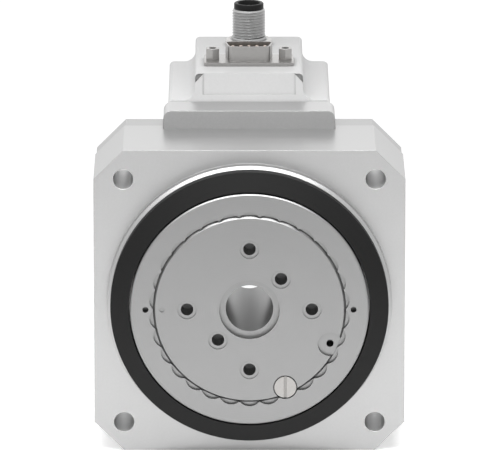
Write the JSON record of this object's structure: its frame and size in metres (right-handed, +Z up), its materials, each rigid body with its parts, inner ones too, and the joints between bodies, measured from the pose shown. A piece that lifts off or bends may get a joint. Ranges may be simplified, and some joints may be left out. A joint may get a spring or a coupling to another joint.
{
  "type": "rotary actuator",
  "caption": "Electric rotary actuator: square housing with a flush turning plate, lockable index ring, offset geared motor at the back and upright signal and power connectors.",
  "frame": {"origin": "where the output axis meets the front face of the housing, the centre of the four corner holes", "axes": "+Y runs back along the output axis, so the turning plate faces -Y; +Z is up, towards the connectors; +X is to the right seen from the front"},
  "size_m": [0.105, 0.1158, 0.1356],
  "materials": {
    "cast_aluminium": "satin",
    "cover_aluminium": "satin",
    "plate_aluminium": "satin",
    "plate_steel": "turned",
    "ring_steel": "turned",
    "plug_steel": "bright",
    "black_ring": "matte",
    "bearing_steel": "polished",
    "cage_steel": "pressed",
    "spring_steel": "dark",
    "screw_steel": "dark",
    "gear_steel": "ground",
    "hood_paint": "matte",
    "bell_aluminium": "machined",
    "stator_steel": "laminated",
    "copper": "enamelled wire",
    "magnet": "ground",
    "board_green": "solder mask",
    "chip_black": "moulded",
    "disc_glass": "coated",
    "spacer_brass": "turned",
    "dsub_tin": "tinned",
    "insulator_dark": "moulded",
    "contact_gold": "plated",
    "m12_zinc": "plated",
    "m12_light": "satin"
  },
  "bodies": {
    "housing": {"housing_body": "cast_aluminium", "rear_cover": "cover_aluminium", "cover_screws": "screw_steel", "cover_ring": "black_ring", "housing_clip": "spring_steel", "main_outer_race": "bearing_steel", "rear_outer_race": "bearing_steel", "motor_outer_races": "bearing_steel", "motor_plate": "plate_aluminium", "plate_screws": "screw_steel", "motor_screws": "screw_steel", "front_bell": "bell_aluminium", "rear_bell": "bell_aluminium", "stator_core": "stator_steel", "coils": "copper", "tie_rods": "bearing_steel", "encoder_board": "board_green", "encoder_sensor": "chip_black", "encoder_spacers": "spacer_brass", "encoder_screws": "screw_steel", "hood": "hood_paint", "hood_screws": "screw_steel", "connector_board": "board_green", "driver_chip": "chip_black", "board_screws": "screw_steel", "dsub_shell": "dsub_tin", "dsub_insulator": "insulator_dark", "dsub_pins": "contact_gold", "jackscrews": "dsub_tin", "jack_nuts": "dsub_tin", "m12_base": "m12_light", "m12_body": "m12_zinc", "m12_nut": "m12_light", "m12_insert": "insulator_dark", "m12_pins": "contact_gold"},
    "output": {"rotary_plate": "plate_steel", "index_ring": "ring_steel", "lock_plug": "plug_steel", "main_inner_race": "bearing_steel", "rear_inner_race": "bearing_steel", "shaft_clip": "spring_steel", "clamp_ring": "gear_steel", "output_gear": "gear_steel", "gear_screws": "screw_steel"},
    "motor_rotor": {"motor_shaft": "bearing_steel", "pinion": "gear_steel", "set_screw": "screw_steel", "magnet_rotor": "magnet", "encoder_disc": "disc_glass", "motor_inner_races": "bearing_steel"},
    "main_ball_set": {"main_balls": "bearing_steel", "main_cage": "cage_steel"},
    "rear_ball_set": {"rear_balls": "bearing_steel", "rear_cage": "cage_steel"},
    "motor_ball_sets": {"motor_balls": "bearing_steel", "motor_cages": "cage_steel"}
  },
  "joints": [
    {"name": "output_turn", "type": "hinge", "parent": "housing", "child": "output", "pos_m": [0, 0, 0], "axis": [0, 1, 0], "continuous": true},
    {"name": "motor_turn", "type": "hinge", "parent": "housing", "child": "motor_rotor", "pos_m": [0, 0, 0.0336], "axis": [0, 1, 0], "continuous": true},
    {"name": "main_balls_turn", "type": "hinge", "parent": "housing", "child": "main_ball_set", "pos_m": [0, 0, 0], "axis": [0, 1, 0], "continuous": true},
    {"name": "rear_balls_turn", "type": "hinge", "parent": "housing", "child": "rear_ball_set", "pos_m": [0, 0, 0], "axis": [0, 1, 0], "continuous": true},
    {"name": "motor_balls_turn", "type": "hinge", "parent": "housing", "child": "motor_ball_sets", "pos_m": [0, 0, 0.0336], "axis": [0, 1, 0], "continuous": true}
  ],
  "couplings": [
    {"joint": "motor_turn", "follows": "output_turn", "ratio": -3.2},
    {"joint": "main_balls_turn", "follows": "output_turn", "ratio": 0.46377},
    {"joint": "rear_balls_turn", "follows": "output_turn", "ratio": 0.45139},
    {"joint": "motor_balls_turn", "follows": "output_turn", "ratio": -1.2509}
  ]
}
